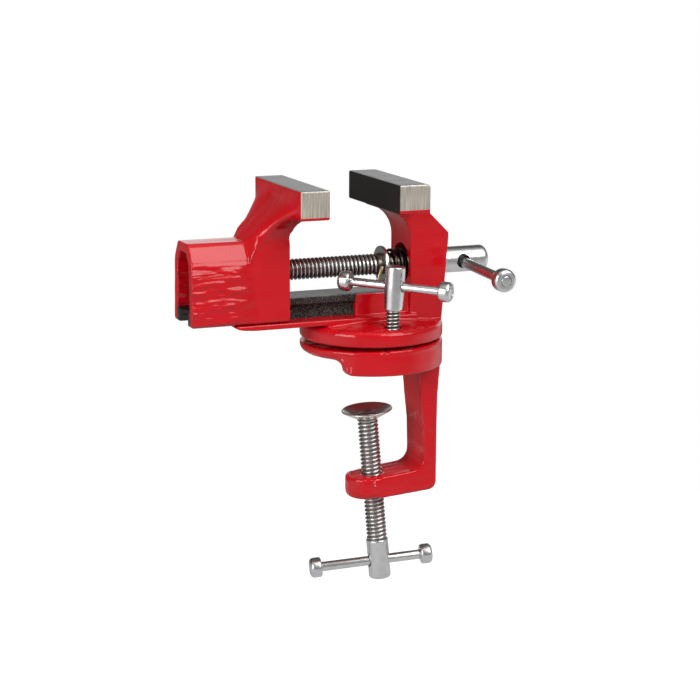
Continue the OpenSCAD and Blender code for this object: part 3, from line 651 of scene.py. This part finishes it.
head = lathe([(0, 0.05 * mm), (head_d / 2 - 0.35 * mm, 0.05 * mm), (head_d / 2, 0.4 * mm)]
             + arc((head_d / 2 - 2 * mm, head_len - 2 * mm), 2 * mm, 0, 90, 8) + [(0, head_len)], 96)
cross_hole(head, hole_up, 90 + bar_droop, hole_d, head_d)
main_screw = smooth(lay(joined(screw_thread, tip), along_screw), 50)
main_thread_steel = threaded_steel("main_thread_steel", (0, 0, screw_z), (1, 0, 0), thread_root, thread_crest)
dress(main_screw, "main_screw_thread", "screw", "bright_steel", main_thread_steel, "main_screw")
# The shank's darker steel is painted shade inside the spring.
smooth(lay(shank, along_screw), 50)
dress(shank, "main_screw_shank", "screw", "bright_steel", shank_painted_shade, "main_screw")
main_head = lay(head, along_screw)
dress(main_head, "main_screw_head", "screw", "bright_steel", nickel, "main_screw")

# %% [markdown]
# Each bar slides through the hole in its screw's head and has a knob pressed on at both ends. The knobs are
# stubby discs with a rounded rim, and the rod's riveted end shows as a shallow dome in the middle. One
# function makes all six knobs, and each is laid at its own end.

# %% Bars and knobs
knob_t = 3.75 * mm


def bar(diameter, length):
    """A rod about Z, with eased ends, centred on the origin."""
    half = length / 2 + knob_t / 2
    ease = 0.3 * mm
    r = diameter / 2 - ease
    return lathe([(0, -half), (r, -half)] + arc((r, ease - half), ease, -90, 0, 3)
                 + arc((r, half - ease), ease, 0, 90, 3) + [(0, half)], 48)


def knob(diameter, rod_d):
    """A knob about Z, zero at its inner face, with a rounded rim and a hole for the rod."""
    r = diameter / 2
    inner = 0.8 * mm
    outer = 1.3 * mm
    groove = 0.09 * mm
    hole = rod_d / 2 + 0.02 * mm
    face = r - outer + 0.1 * mm
    rim = arc((r - inner, inner), inner, -90, 0, 4) + arc((r - outer, knob_t - outer), outer, 0, 80, 8)
    front = [(face, knob_t), (face - 0.16 * mm, knob_t - groove), (face - 0.26 * mm, knob_t - groove),
             (face - 0.40 * mm, knob_t - 0.02 * mm), (hole + 0.16 * mm, knob_t - 0.06 * mm),
             (hole, knob_t - 0.35 * mm)]
    return lathe([(hole, 0), (r - inner, 0)] + rim + front + [(hole, 0)], 64)


def bar_with_knobs(names, nodes, body, place, direction, diameter, length, knob_d):
    """Lays a rod and its two knobs along a direction through a place."""
    along = frame_at(place, direction)
    rod = smooth(lay(bar(diameter, length), along), 40)
    dress(rod, names[0], body, "bright_steel", nickel, nodes[0])
    for name, node, side in ((names[1], nodes[1], -1), (names[2], nodes[2], 1)):
        piece = knob(knob_d, diameter)
        turn = Matrix.Rotation(0 if side == 1 else pi, 4, "X")
        end = Matrix.Translation((0, 0, side * (length / 2 - knob_t / 2)))
        smooth(lay(piece, along @ end @ turn), 40)
        dress(piece, name, body, "bright_steel", nickel, node)


def middle_of(*nodes):
    """The middle of the box round several nodes."""
    lows, highs = zip(*(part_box(n) for n in nodes))
    low = Vector([min(v[i] for v in lows) for i in range(3)])
    high = Vector([max(v[i] for v in highs) for i in range(3)])
    return (low + high) / 2


def dress_bar(name, first, second, body, slide, diameter, length, knob_d):
    """Replaces a bar and its knobs. The slide joint gives the bar's direction."""
    bar_with_knobs((name + "_rod", first + "_turned", second + "_turned"), (name, first, second), body,
                   middle_of(name, first, second), joints[slide]["axis"], diameter, length, knob_d)


dress_bar("main_bar", "main_bar_knob_far", "main_bar_knob_near", "screw_bar", "screw_bar_slide",
          3.1 * mm, 50 * mm, 7 * mm)
dress_bar("lock_bar", "lock_bar_knob_left", "lock_bar_knob_right", "lock_tommy", "lock_bar_slide",
          2.6 * mm, 31.8 * mm, 6.08 * mm)
dress_bar("clamp_bar", "clamp_bar_knob_left", "clamp_bar_knob_right", "clamp_tommy", "clamp_bar_slide",
          3 * mm, 35 * mm, 6.3 * mm)

# %% [markdown]
# The lock screw presses the swivel plate fast. Its thread is finer than the main screw's and its head is a
# slim cylinder that widens a little above the thread.

# %% Lock screw
lock = joints["lock_turn"]
along_lock = frame_at(lock["pos_m"], lock["axis"])
lock_show = 5.7 * mm
lock_head_d = 6.1 * mm
lock_head_len = 13.1 * mm
lock_hole_up = 7.1 * mm
lock_hole_d = 3.1 * mm
lock_bar_turn = -44
lock_thread = thread(4.6 * mm, 1.06 * mm, -4.9 * mm, lock_show + 0.2 * mm)
r = lock_head_d / 2
edge = 0.5 * mm
widening = [(r - edge, 0), (r - 0.36 * mm, 0.1 * mm), (r - 0.3 * mm, 0.5 * mm), (r - 0.24 * mm, 1.6 * mm),
            (r - 0.15 * mm, 3.2 * mm), (r - 0.06 * mm, 4.8 * mm), (r, 6.6 * mm)]
lock_head = lathe([(0, 0)] + widening + arc((r - edge, lock_head_len - edge), edge, 0, 90, 5)
                  + [(0, lock_head_len)], 80)
cross_hole(lock_head, lock_hole_up, lock_bar_turn, lock_hole_d, lock_head_d)
lay(lock_head, Matrix.Translation((0, 0, lock_show)))
smooth(lay(lock_thread, along_lock), 50)
lock_thread_steel = threaded_steel("lock_thread_steel", lock["pos_m"], lock["axis"], 1.8 * mm, 2.25 * mm)
dress(lock_thread, "lock_screw_thread", "lock", "bright_steel", lock_thread_steel, "lock_screw")
lay(lock_head, along_lock)
dress(lock_head, "lock_screw_head", "lock", "bright_steel", nickel, "lock_screw")

# %% [markdown]
# The clamp screw comes up through the lower arm. A shallow cup on its riveted neck meets the table from
# below, and a bar through its head turns it.

# %% Clamp screw and cup
clamp = joints["clamp_turn"]
along_clamp = frame_at(clamp["pos_m"], clamp["axis"])
clamp_drop = 18.8 * mm
clamp_head_d = 6.9 * mm
clamp_head_len = 12.8 * mm
clamp_hole_up = -7.2 * mm
clamp_hole_d = 4 * mm
clamp_bar_turn = -13
cup_z = 20.2 * mm
cup_r = 7.85 * mm
neck_r = 2.4 * mm
clamp_thread = thread(thread_d, screw_pitch, -clamp_drop - 0.2 * mm, cup_z - 0.4 * mm)
neck = lathe([(0, cup_z - 0.9 * mm), (2.9 * mm, cup_z - 0.7 * mm), (2.9 * mm, cup_z - 0.2 * mm),
              (neck_r, cup_z - 0.05 * mm), (neck_r, cup_z + 1.35 * mm),
              (neck_r + 0.55 * mm, cup_z + 1.4 * mm), (neck_r + 0.5 * mm, cup_z + 1.75 * mm),
              (1.7 * mm, cup_z + 2.15 * mm), (1.1 * mm, cup_z + 1.9 * mm), (0, cup_z + 1.8 * mm)], 48)
r = clamp_head_d / 2
edge = 0.5 * mm
low_edge = 0.7 * mm
clamp_head = lathe([(0, -clamp_head_len)]
                   + arc((r - low_edge, low_edge - clamp_head_len), low_edge, -90, 0, 5)
                   + arc((r - edge, -edge), edge, 0, 90, 4) + [(0, 0)], 80)
cross_hole(clamp_head, clamp_hole_up, clamp_bar_turn, clamp_hole_d, clamp_head_d)
lay(clamp_head, Matrix.Translation((0, 0, -clamp_drop)))
smooth(lay(joined(clamp_thread, neck), along_clamp), 50)
# The clamp thread's painted shade in its grooves is lighter than the main screw's.
clamp_thread_steel = threaded_steel("clamp_thread_steel", clamp["pos_m"], clamp["axis"], thread_root,
                                    thread_crest, groove=(0.25, 0.23, 0.22))
dress(clamp_thread, "clamp_screw_thread", "clamp_spindle", "bright_steel", clamp_thread_steel, "clamp_screw")
lay(clamp_head, along_clamp)
dress(clamp_head, "clamp_screw_head", "clamp_spindle", "bright_steel", nickel, "clamp_screw")
cup = lathe([(neck_r + 0.06 * mm, 0), (3.1 * mm, 0), (3.6 * mm, 0.15 * mm), (7.5 * mm, 2.35 * mm)]
            + arc((cup_r - 0.25 * mm, 2.72 * mm), 0.25 * mm, -50, 130, 6)
            + [(7.2 * mm, 2.72 * mm), (4.1 * mm, 1.15 * mm), (neck_r + 0.06 * mm, 1.1 * mm),
               (neck_r + 0.06 * mm, 0)], 96)
lay(cup, Matrix.Translation((0, 0, cup_z)))
smooth(lay(cup, along_clamp), 35)
dress(cup, "clamp_cup", "cup", "bright_steel", cup_steel, "clamp_pad")

# %% [markdown]
# The jaw spring takes up the end play of the main screw. It is wound from round wire, with its first and
# last half turn closed up flat, so the coil is a curve whose rise slows down at both ends.

# %% Jaw spring


def bent_wire(points, kind, radius):
    """Round wire through points in metres, straight from one to the next or rounded by NURBS."""
    bpy.ops.curve.primitive_nurbs_path_add()
    made = bpy.context.object
    made.data.splines.clear()
    spline = made.data.splines.new(kind)
    spline.points.add(len(points) - 1)
    for point, place in zip(spline.points, points):
        point.co = (*place, 1)
    if kind == "NURBS":
        spline.order_u = 3
        spline.use_endpoint_u = True
        spline.resolution_u = 6
    made.data.dimensions = "3D"
    made.data.bevel_depth = radius
    made.data.bevel_resolution = 4
    made.data.use_fill_caps = True
    pick(made)
    bpy.ops.object.convert(target="MESH")
    return bpy.context.object


spring_low, spring_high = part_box("jaw_spring")
wire_r = 0.5 * mm
coil_r = (spring_high.z - spring_low.z) / 2 - wire_r
spring_turns = 6
points_per_turn = 24
first = spring_low.x + wire_r
last = spring_high.x - wire_r
closed_turn = 0.35
count = spring_turns * points_per_turn
coil_points = []
for i in range(count + 1):
    t = i / count
    eased = min(max((t * spring_turns - closed_turn) / (spring_turns - 2 * closed_turn), 0), 1)
    a = 2 * pi * spring_turns * t
    coil_points.append((first + (last - first) * eased, coil_r * cos(a), screw_z + coil_r * sin(a)))
spring = smooth(bent_wire(coil_points, "POLY", wire_r), 60)
dress(spring, "jaw_spring_wire", "swivel", "spring_steel", spring_steel, "jaw_spring")

# %% [markdown]
# The washer and the split pin stop the spring on the screw. The pin is one bent wire, doubled back on
# itself: an eye on the far side, two legs through the screw, and the longer leg hanging down on the near
# side.

# %% Washer and split pin
washer_r = (washer_high.z - washer_low.z) / 2
washer_t = washer_high.x - washer_low.x
washer_hole_r = 3.4 * mm
edge = 0.35 * mm
washer = lathe([(washer_hole_r, 0), (washer_r - 0.15 * mm, 0), (washer_r, 0.15 * mm),
                (washer_r, washer_t - edge)]
               + arc((washer_r - edge, washer_t - edge), edge, 0, 90, 4)
               + [(washer_hole_r, washer_t), (washer_hole_r, 0)], 64)
lay(washer, Matrix.Translation((washer_low.x, 0, screw_z)) @ Matrix.Rotation(radians(90), 4, "Y"))
dress(smooth(washer, 40), "screw_washer_turned", "screw", "bright_steel", nickel, "screw_washer")

leg_r = 0.6 * mm
pin_x = washer_low.x - leg_r - 0.3 * mm
near_y = -3.2 * mm - 2 * leg_r
far_y = 3.2 * mm + 1.9 * mm
eye_r = 1.08 * mm
legs = [
    (pin_x - 1.75 * mm, near_y - 0.35 * mm, screw_z - 4.6 * mm),
    (pin_x - 1.2 * mm, near_y - 0.15 * mm, screw_z - 3.0 * mm),
    (pin_x - 0.35 * mm, near_y - 0.05 * mm, screw_z - 0.8 * mm),
    (pin_x, near_y + 0.55 * mm, screw_z),
    (pin_x, far_y - 1.6 * mm, screw_z),
    (pin_x, far_y - 0.6 * mm, screw_z - 0.5 * mm),
    (pin_x, far_y + 0.5 * mm, screw_z - eye_r),
    (pin_x, far_y + 1.3 * mm, screw_z),
    (pin_x, far_y + 0.5 * mm, screw_z + eye_r),
    (pin_x, far_y - 0.6 * mm, screw_z + 0.5 * mm),
    (pin_x, far_y - 1.4 * mm, screw_z + 0.1 * mm),
]
pin = smooth(bent_wire(legs, "NURBS", leg_r), 60)
dress(pin, "split_pin_wire", "screw", "pin_brass", pin_brass, "split_pin")

# %% [markdown]
# The three castings have every edge rounded by the sand mould and by thick paint. A copy of each solid is
# rebuilt as an even skin with Voxel Remesh and relaxed with Smooth, which rounds all of its edges alike, as
# paint does. The copy is merged first, because the solid's mesh is loose triangles.

# %% Castings


def cast_copy(node, voxel, rounds, *extras):
    """An evenly meshed, softened copy of a node, with other closed pieces taken into its skin."""
    piece = bpy.data.objects.new(node + "_copy", frame["nodes"][node].data.copy())
    bpy.context.scene.collection.objects.link(piece)
    pick(piece)
    bpy.ops.object.mode_set(mode="EDIT")
    bpy.ops.mesh.select_all(action="SELECT")
    bpy.ops.mesh.remove_doubles(threshold=0.001 * mm)
    bpy.ops.object.mode_set(mode="OBJECT")
    return skin(joined(piece, *extras), voxel, rounds)


plate_r = 21.75 * mm
upper_z = 8.5 * mm
upper_t = 4.8 * mm
ring_in = 19.7 * mm
rim = lathe([(ring_in, 0), (plate_r - 0.6 * mm, 0), (plate_r, 0.6 * mm)]
            + arc((plate_r - 1.3 * mm, upper_t - 1.3 * mm), 1.3 * mm, 0, 84, 6)
            + [(ring_in, upper_t - 0.02 * mm), (ring_in, 0)], 256)
lay(rim, Matrix.Translation((0, 0, upper_z)))
frame_casting = cast_copy("clamp_frame", 0.38 * mm, 12)
swivel_casting = cast_copy("swivel_base", 0.36 * mm, 5, rim)
jaw_casting = cast_copy("moving_jaw", 0.36 * mm, 5)

# %% [markdown]
# The solids' round plates come as flat facets, which a glossy rim would show as stripes. The upper plate got
# a finely turned rim before its skin was rebuilt. On the clamp frame, every corner close to the plate's true
# radius is moved out to it. The plates' rims, the step from the thin plate to the thick jaw and the side of
# the lower arm are smoothed.

# %% Round rims


def true_up(piece, low, high, start_x, full_x):
    """Moves rim corners between two heights out to the plate's radius, ever more from start_x to full_x."""
    moved = 0
    for vertex in piece.data.vertices:
        place = vertex.co
        radius = sqrt(place.x ** 2 + place.y ** 2)
        if low < place.z < high and place.x > start_x and abs(radius - plate_r) < 0.35 * mm:
            share = min((place.x - start_x) / (full_x - start_x), 1)
            place.xy = place.xy * (1 + (plate_r / radius - 1) * share)
            moved += 1
    print(piece.name, "has", moved, "rim corners on its true radius")


def inside(value, limits):
    """Whether a value in metres lies between two limits in millimetres. Either may be None."""
    low, high = limits
    return (low is None or value > low * mm) and (high is None or value < high * mm)


def soften(piece, rounds, x=(None, None), side=(None, None), z=(None, None), radius=(None, None), flare=None):
    """Smooths the corners inside all the limits, over and over.

    Side is the distance from the middle plane and radius the distance from the swivel axis. Flare is the side
    at a height of 40 mm from where corners count: the limit closes in by 0.4 mm for each mm further up.
    """
    pick(piece)
    bpy.ops.object.mode_set(mode="EDIT")
    bpy.ops.mesh.select_mode(type="VERT")
    bpy.ops.mesh.select_all(action="DESELECT")
    bpy.ops.object.mode_set(mode="OBJECT")
    count = 0
    for vertex in piece.data.vertices:
        place = vertex.co
        flared = flare is None or abs(place.y) > flare * mm - (place.z - 40 * mm) * 0.4
        if (flared and inside(place.x, x) and inside(abs(place.y), side) and inside(place.z, z)
                and inside(place.xy.length, radius)):
            vertex.select = True
            count += 1
    bpy.ops.object.mode_set(mode="EDIT")
    bpy.ops.mesh.vertices_smooth(factor=0.5, repeat=rounds)
    bpy.ops.object.mode_set(mode="OBJECT")
    print(piece.name, "has", count, "corners smoothed", rounds, "times")


true_up(frame_casting, 6.3 * mm, 6.9 * mm, -plate_r, -plate_r + 1 * mm)
true_up(frame_casting, 0.7 * mm, 6.4 * mm, -14 * mm, -7 * mm)
soften(frame_casting, 6, z=(5.9, 8.2), radius=(20.3, None))
soften(swivel_casting, 6, z=(12.2, 13.7), radius=(19, 22))
soften(frame_casting, 24, x=(-4, 1), side=(5.5, None), z=(-42, -30))
soften(frame_casting, 14, x=(-20, -8), side=(9, None), z=(0.3, 6.4))
soften(frame_casting, 12, x=(-16, -9), z=(0.8, 6), radius=(20, None))

# %% [markdown]
# The moving jaw spreads from its narrow tunnel to the full width of its head, and the underside of that
# spread is a cove. On the solid the spread is a fan of flat strips. The corners on it are smoothed over and
# over, as with the Smooth brush, until the strips read as one surface.

# %% The spread under the moving jaw's head
soften(jaw_casting, 60, x=(-41.6, -28.8), side=(4.2, 19.5), z=(36.5, 55.6), flare=8.6)
soften(jaw_casting, 30, x=(-34.5, -29.4), side=(None, 6), z=(50, 55.3))
soften(jaw_casting, 120, x=(-48, -41), side=(8.5, None), z=(17.5, 34))
soften(jaw_casting, 260, x=(-40.6, -29.4), side=(5, 19.3), z=(38.2, 54.6), flare=9.4)

# %% [markdown]
# The clamp frame is enamel all over. The swivel casting also has a ground top and a ground end on its jaw,
# a dark gripping face, and a rail that is left as black as it came from the mould, with its top ground. The
# moving jaw is ground like the fixed one, and its near wall has ripples.

# %% Finishes of the castings
frame_material, tree, shader, finish = start_casting("frame_enamel")
finish_casting(tree, shader, finish)
dress(frame_casting, "clamp_frame_casting", "clamp", "red_casting", frame_material, "clamp_frame")

half_jaw = 20 * mm
grip_black = (0.010, 0.008, 0.007)


def jaw_ends(tree, x, low_z):
    """Marks both ground ends of a jaw, above a height."""
    faces = ((half_jaw - 0.25 * mm, None), (None, 0.25 * mm - half_jaw))
    return work_out(tree, "MAXIMUM", *(region(tree, x=x, y=y, z=(low_z, None)) for y in faces))


def grind_jaw(tree, finish, ends, top, grip):
    """Bares a jaw's ends and top and darkens its gripping face."""
    finish = lay_over(tree, finish, ends, brushed(tree, brushed_steel), 0.42, 0.55)
    finish = lay_over(tree, finish, top, brushed(tree, ground_steel, 0.12), 0.40, 0.7)
    return lay_over(tree, finish, grip, grip_black, 0.62, 0.0)


top_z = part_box("swivel_base")[1].z
grip_x = 0.6 * mm
swivel_material, tree, shader, finish = start_casting("swivel_enamel")
rail_mask = region(tree, x=(None, -7.4 * mm), y=(-6 * mm, 6 * mm), z=(15.85 * mm, 23 * mm),
                   ragged=0.35 * mm)
rail_top = region(tree, x=(None, 9.4 * mm), y=(-5.7 * mm, 5.7 * mm), z=(22.3 * mm, 23 * mm))
ends = jaw_ends(tree, (None, 10.8 * mm), 48.9 * mm)
ground_top = region(tree, z=(top_z - 0.22 * mm, None))
grip = region(tree, x=(None, grip_x + 0.22 * mm), z=(47.8 * mm, None))
specks = span(tree, noise(tree, 0.35 * mm, 2.0), -2.2, 2.6)
scale = mix_colour(tree, specks, black_scale, (0.12, 0.10, 0.09))
finish = lay_over(tree, finish, rail_mask, scale, 0.20, 0.0)
finish = lay_over(tree, finish, rail_top, brushed(tree, (0.24, 0.24, 0.25)), 0.38, 0.9)
finish = grind_jaw(tree, finish, ends, ground_top, grip)
finish_casting(tree, shader, finish, rail_mask)
dress(swivel_casting, "swivel_casting", "swivel", "red_casting", swivel_material, "swivel_base")

moving_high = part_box("moving_jaw")[1]
moving_material, tree, shader, finish = start_casting("moving_jaw_enamel")
ends = jaw_ends(tree, (-30.4 * mm, None), 48.15 * mm)
ground_top = region(tree, z=(moving_high.z - 0.2 * mm, None))
grip = region(tree, x=(moving_high.x - 0.22 * mm, None), z=(47.4 * mm, None))
slide = region(tree, y=(-6.05 * mm, 6.05 * mm), z=(None, 20.3 * mm))
ripples = region(tree, x=(None, -42.3 * mm), z=(16.5 * mm, 32.6 * mm), edge=4.5 * mm)
finish = lay_over(tree, finish, slide, (0.03, 0.02, 0.02), 0.4, 0.3)
finish["roughness"] = mix_number(tree, ripples, finish["roughness"], 0.24)
finish = grind_jaw(tree, finish, ends, ground_top, grip)
finish_casting(tree, shader, finish, ripple_mask=ripples)
dress(jaw_casting, "moving_jaw_casting", "jaw", "red_casting", moving_material, "moving_jaw")

# %% [markdown]
# The pivot screw and its washer sit in the underside of the plate, where only a look from below finds them.
# Their solids have the right shape already, so they only get the plating.

# %% Pieces that keep their solids
for name in ("pivot_screw", "pivot_washer"):
    solid = frame["nodes"][name]
    solid.data.materials.clear()
    solid.data.materials.append(nickel)
    print(name, "keeps its solid")
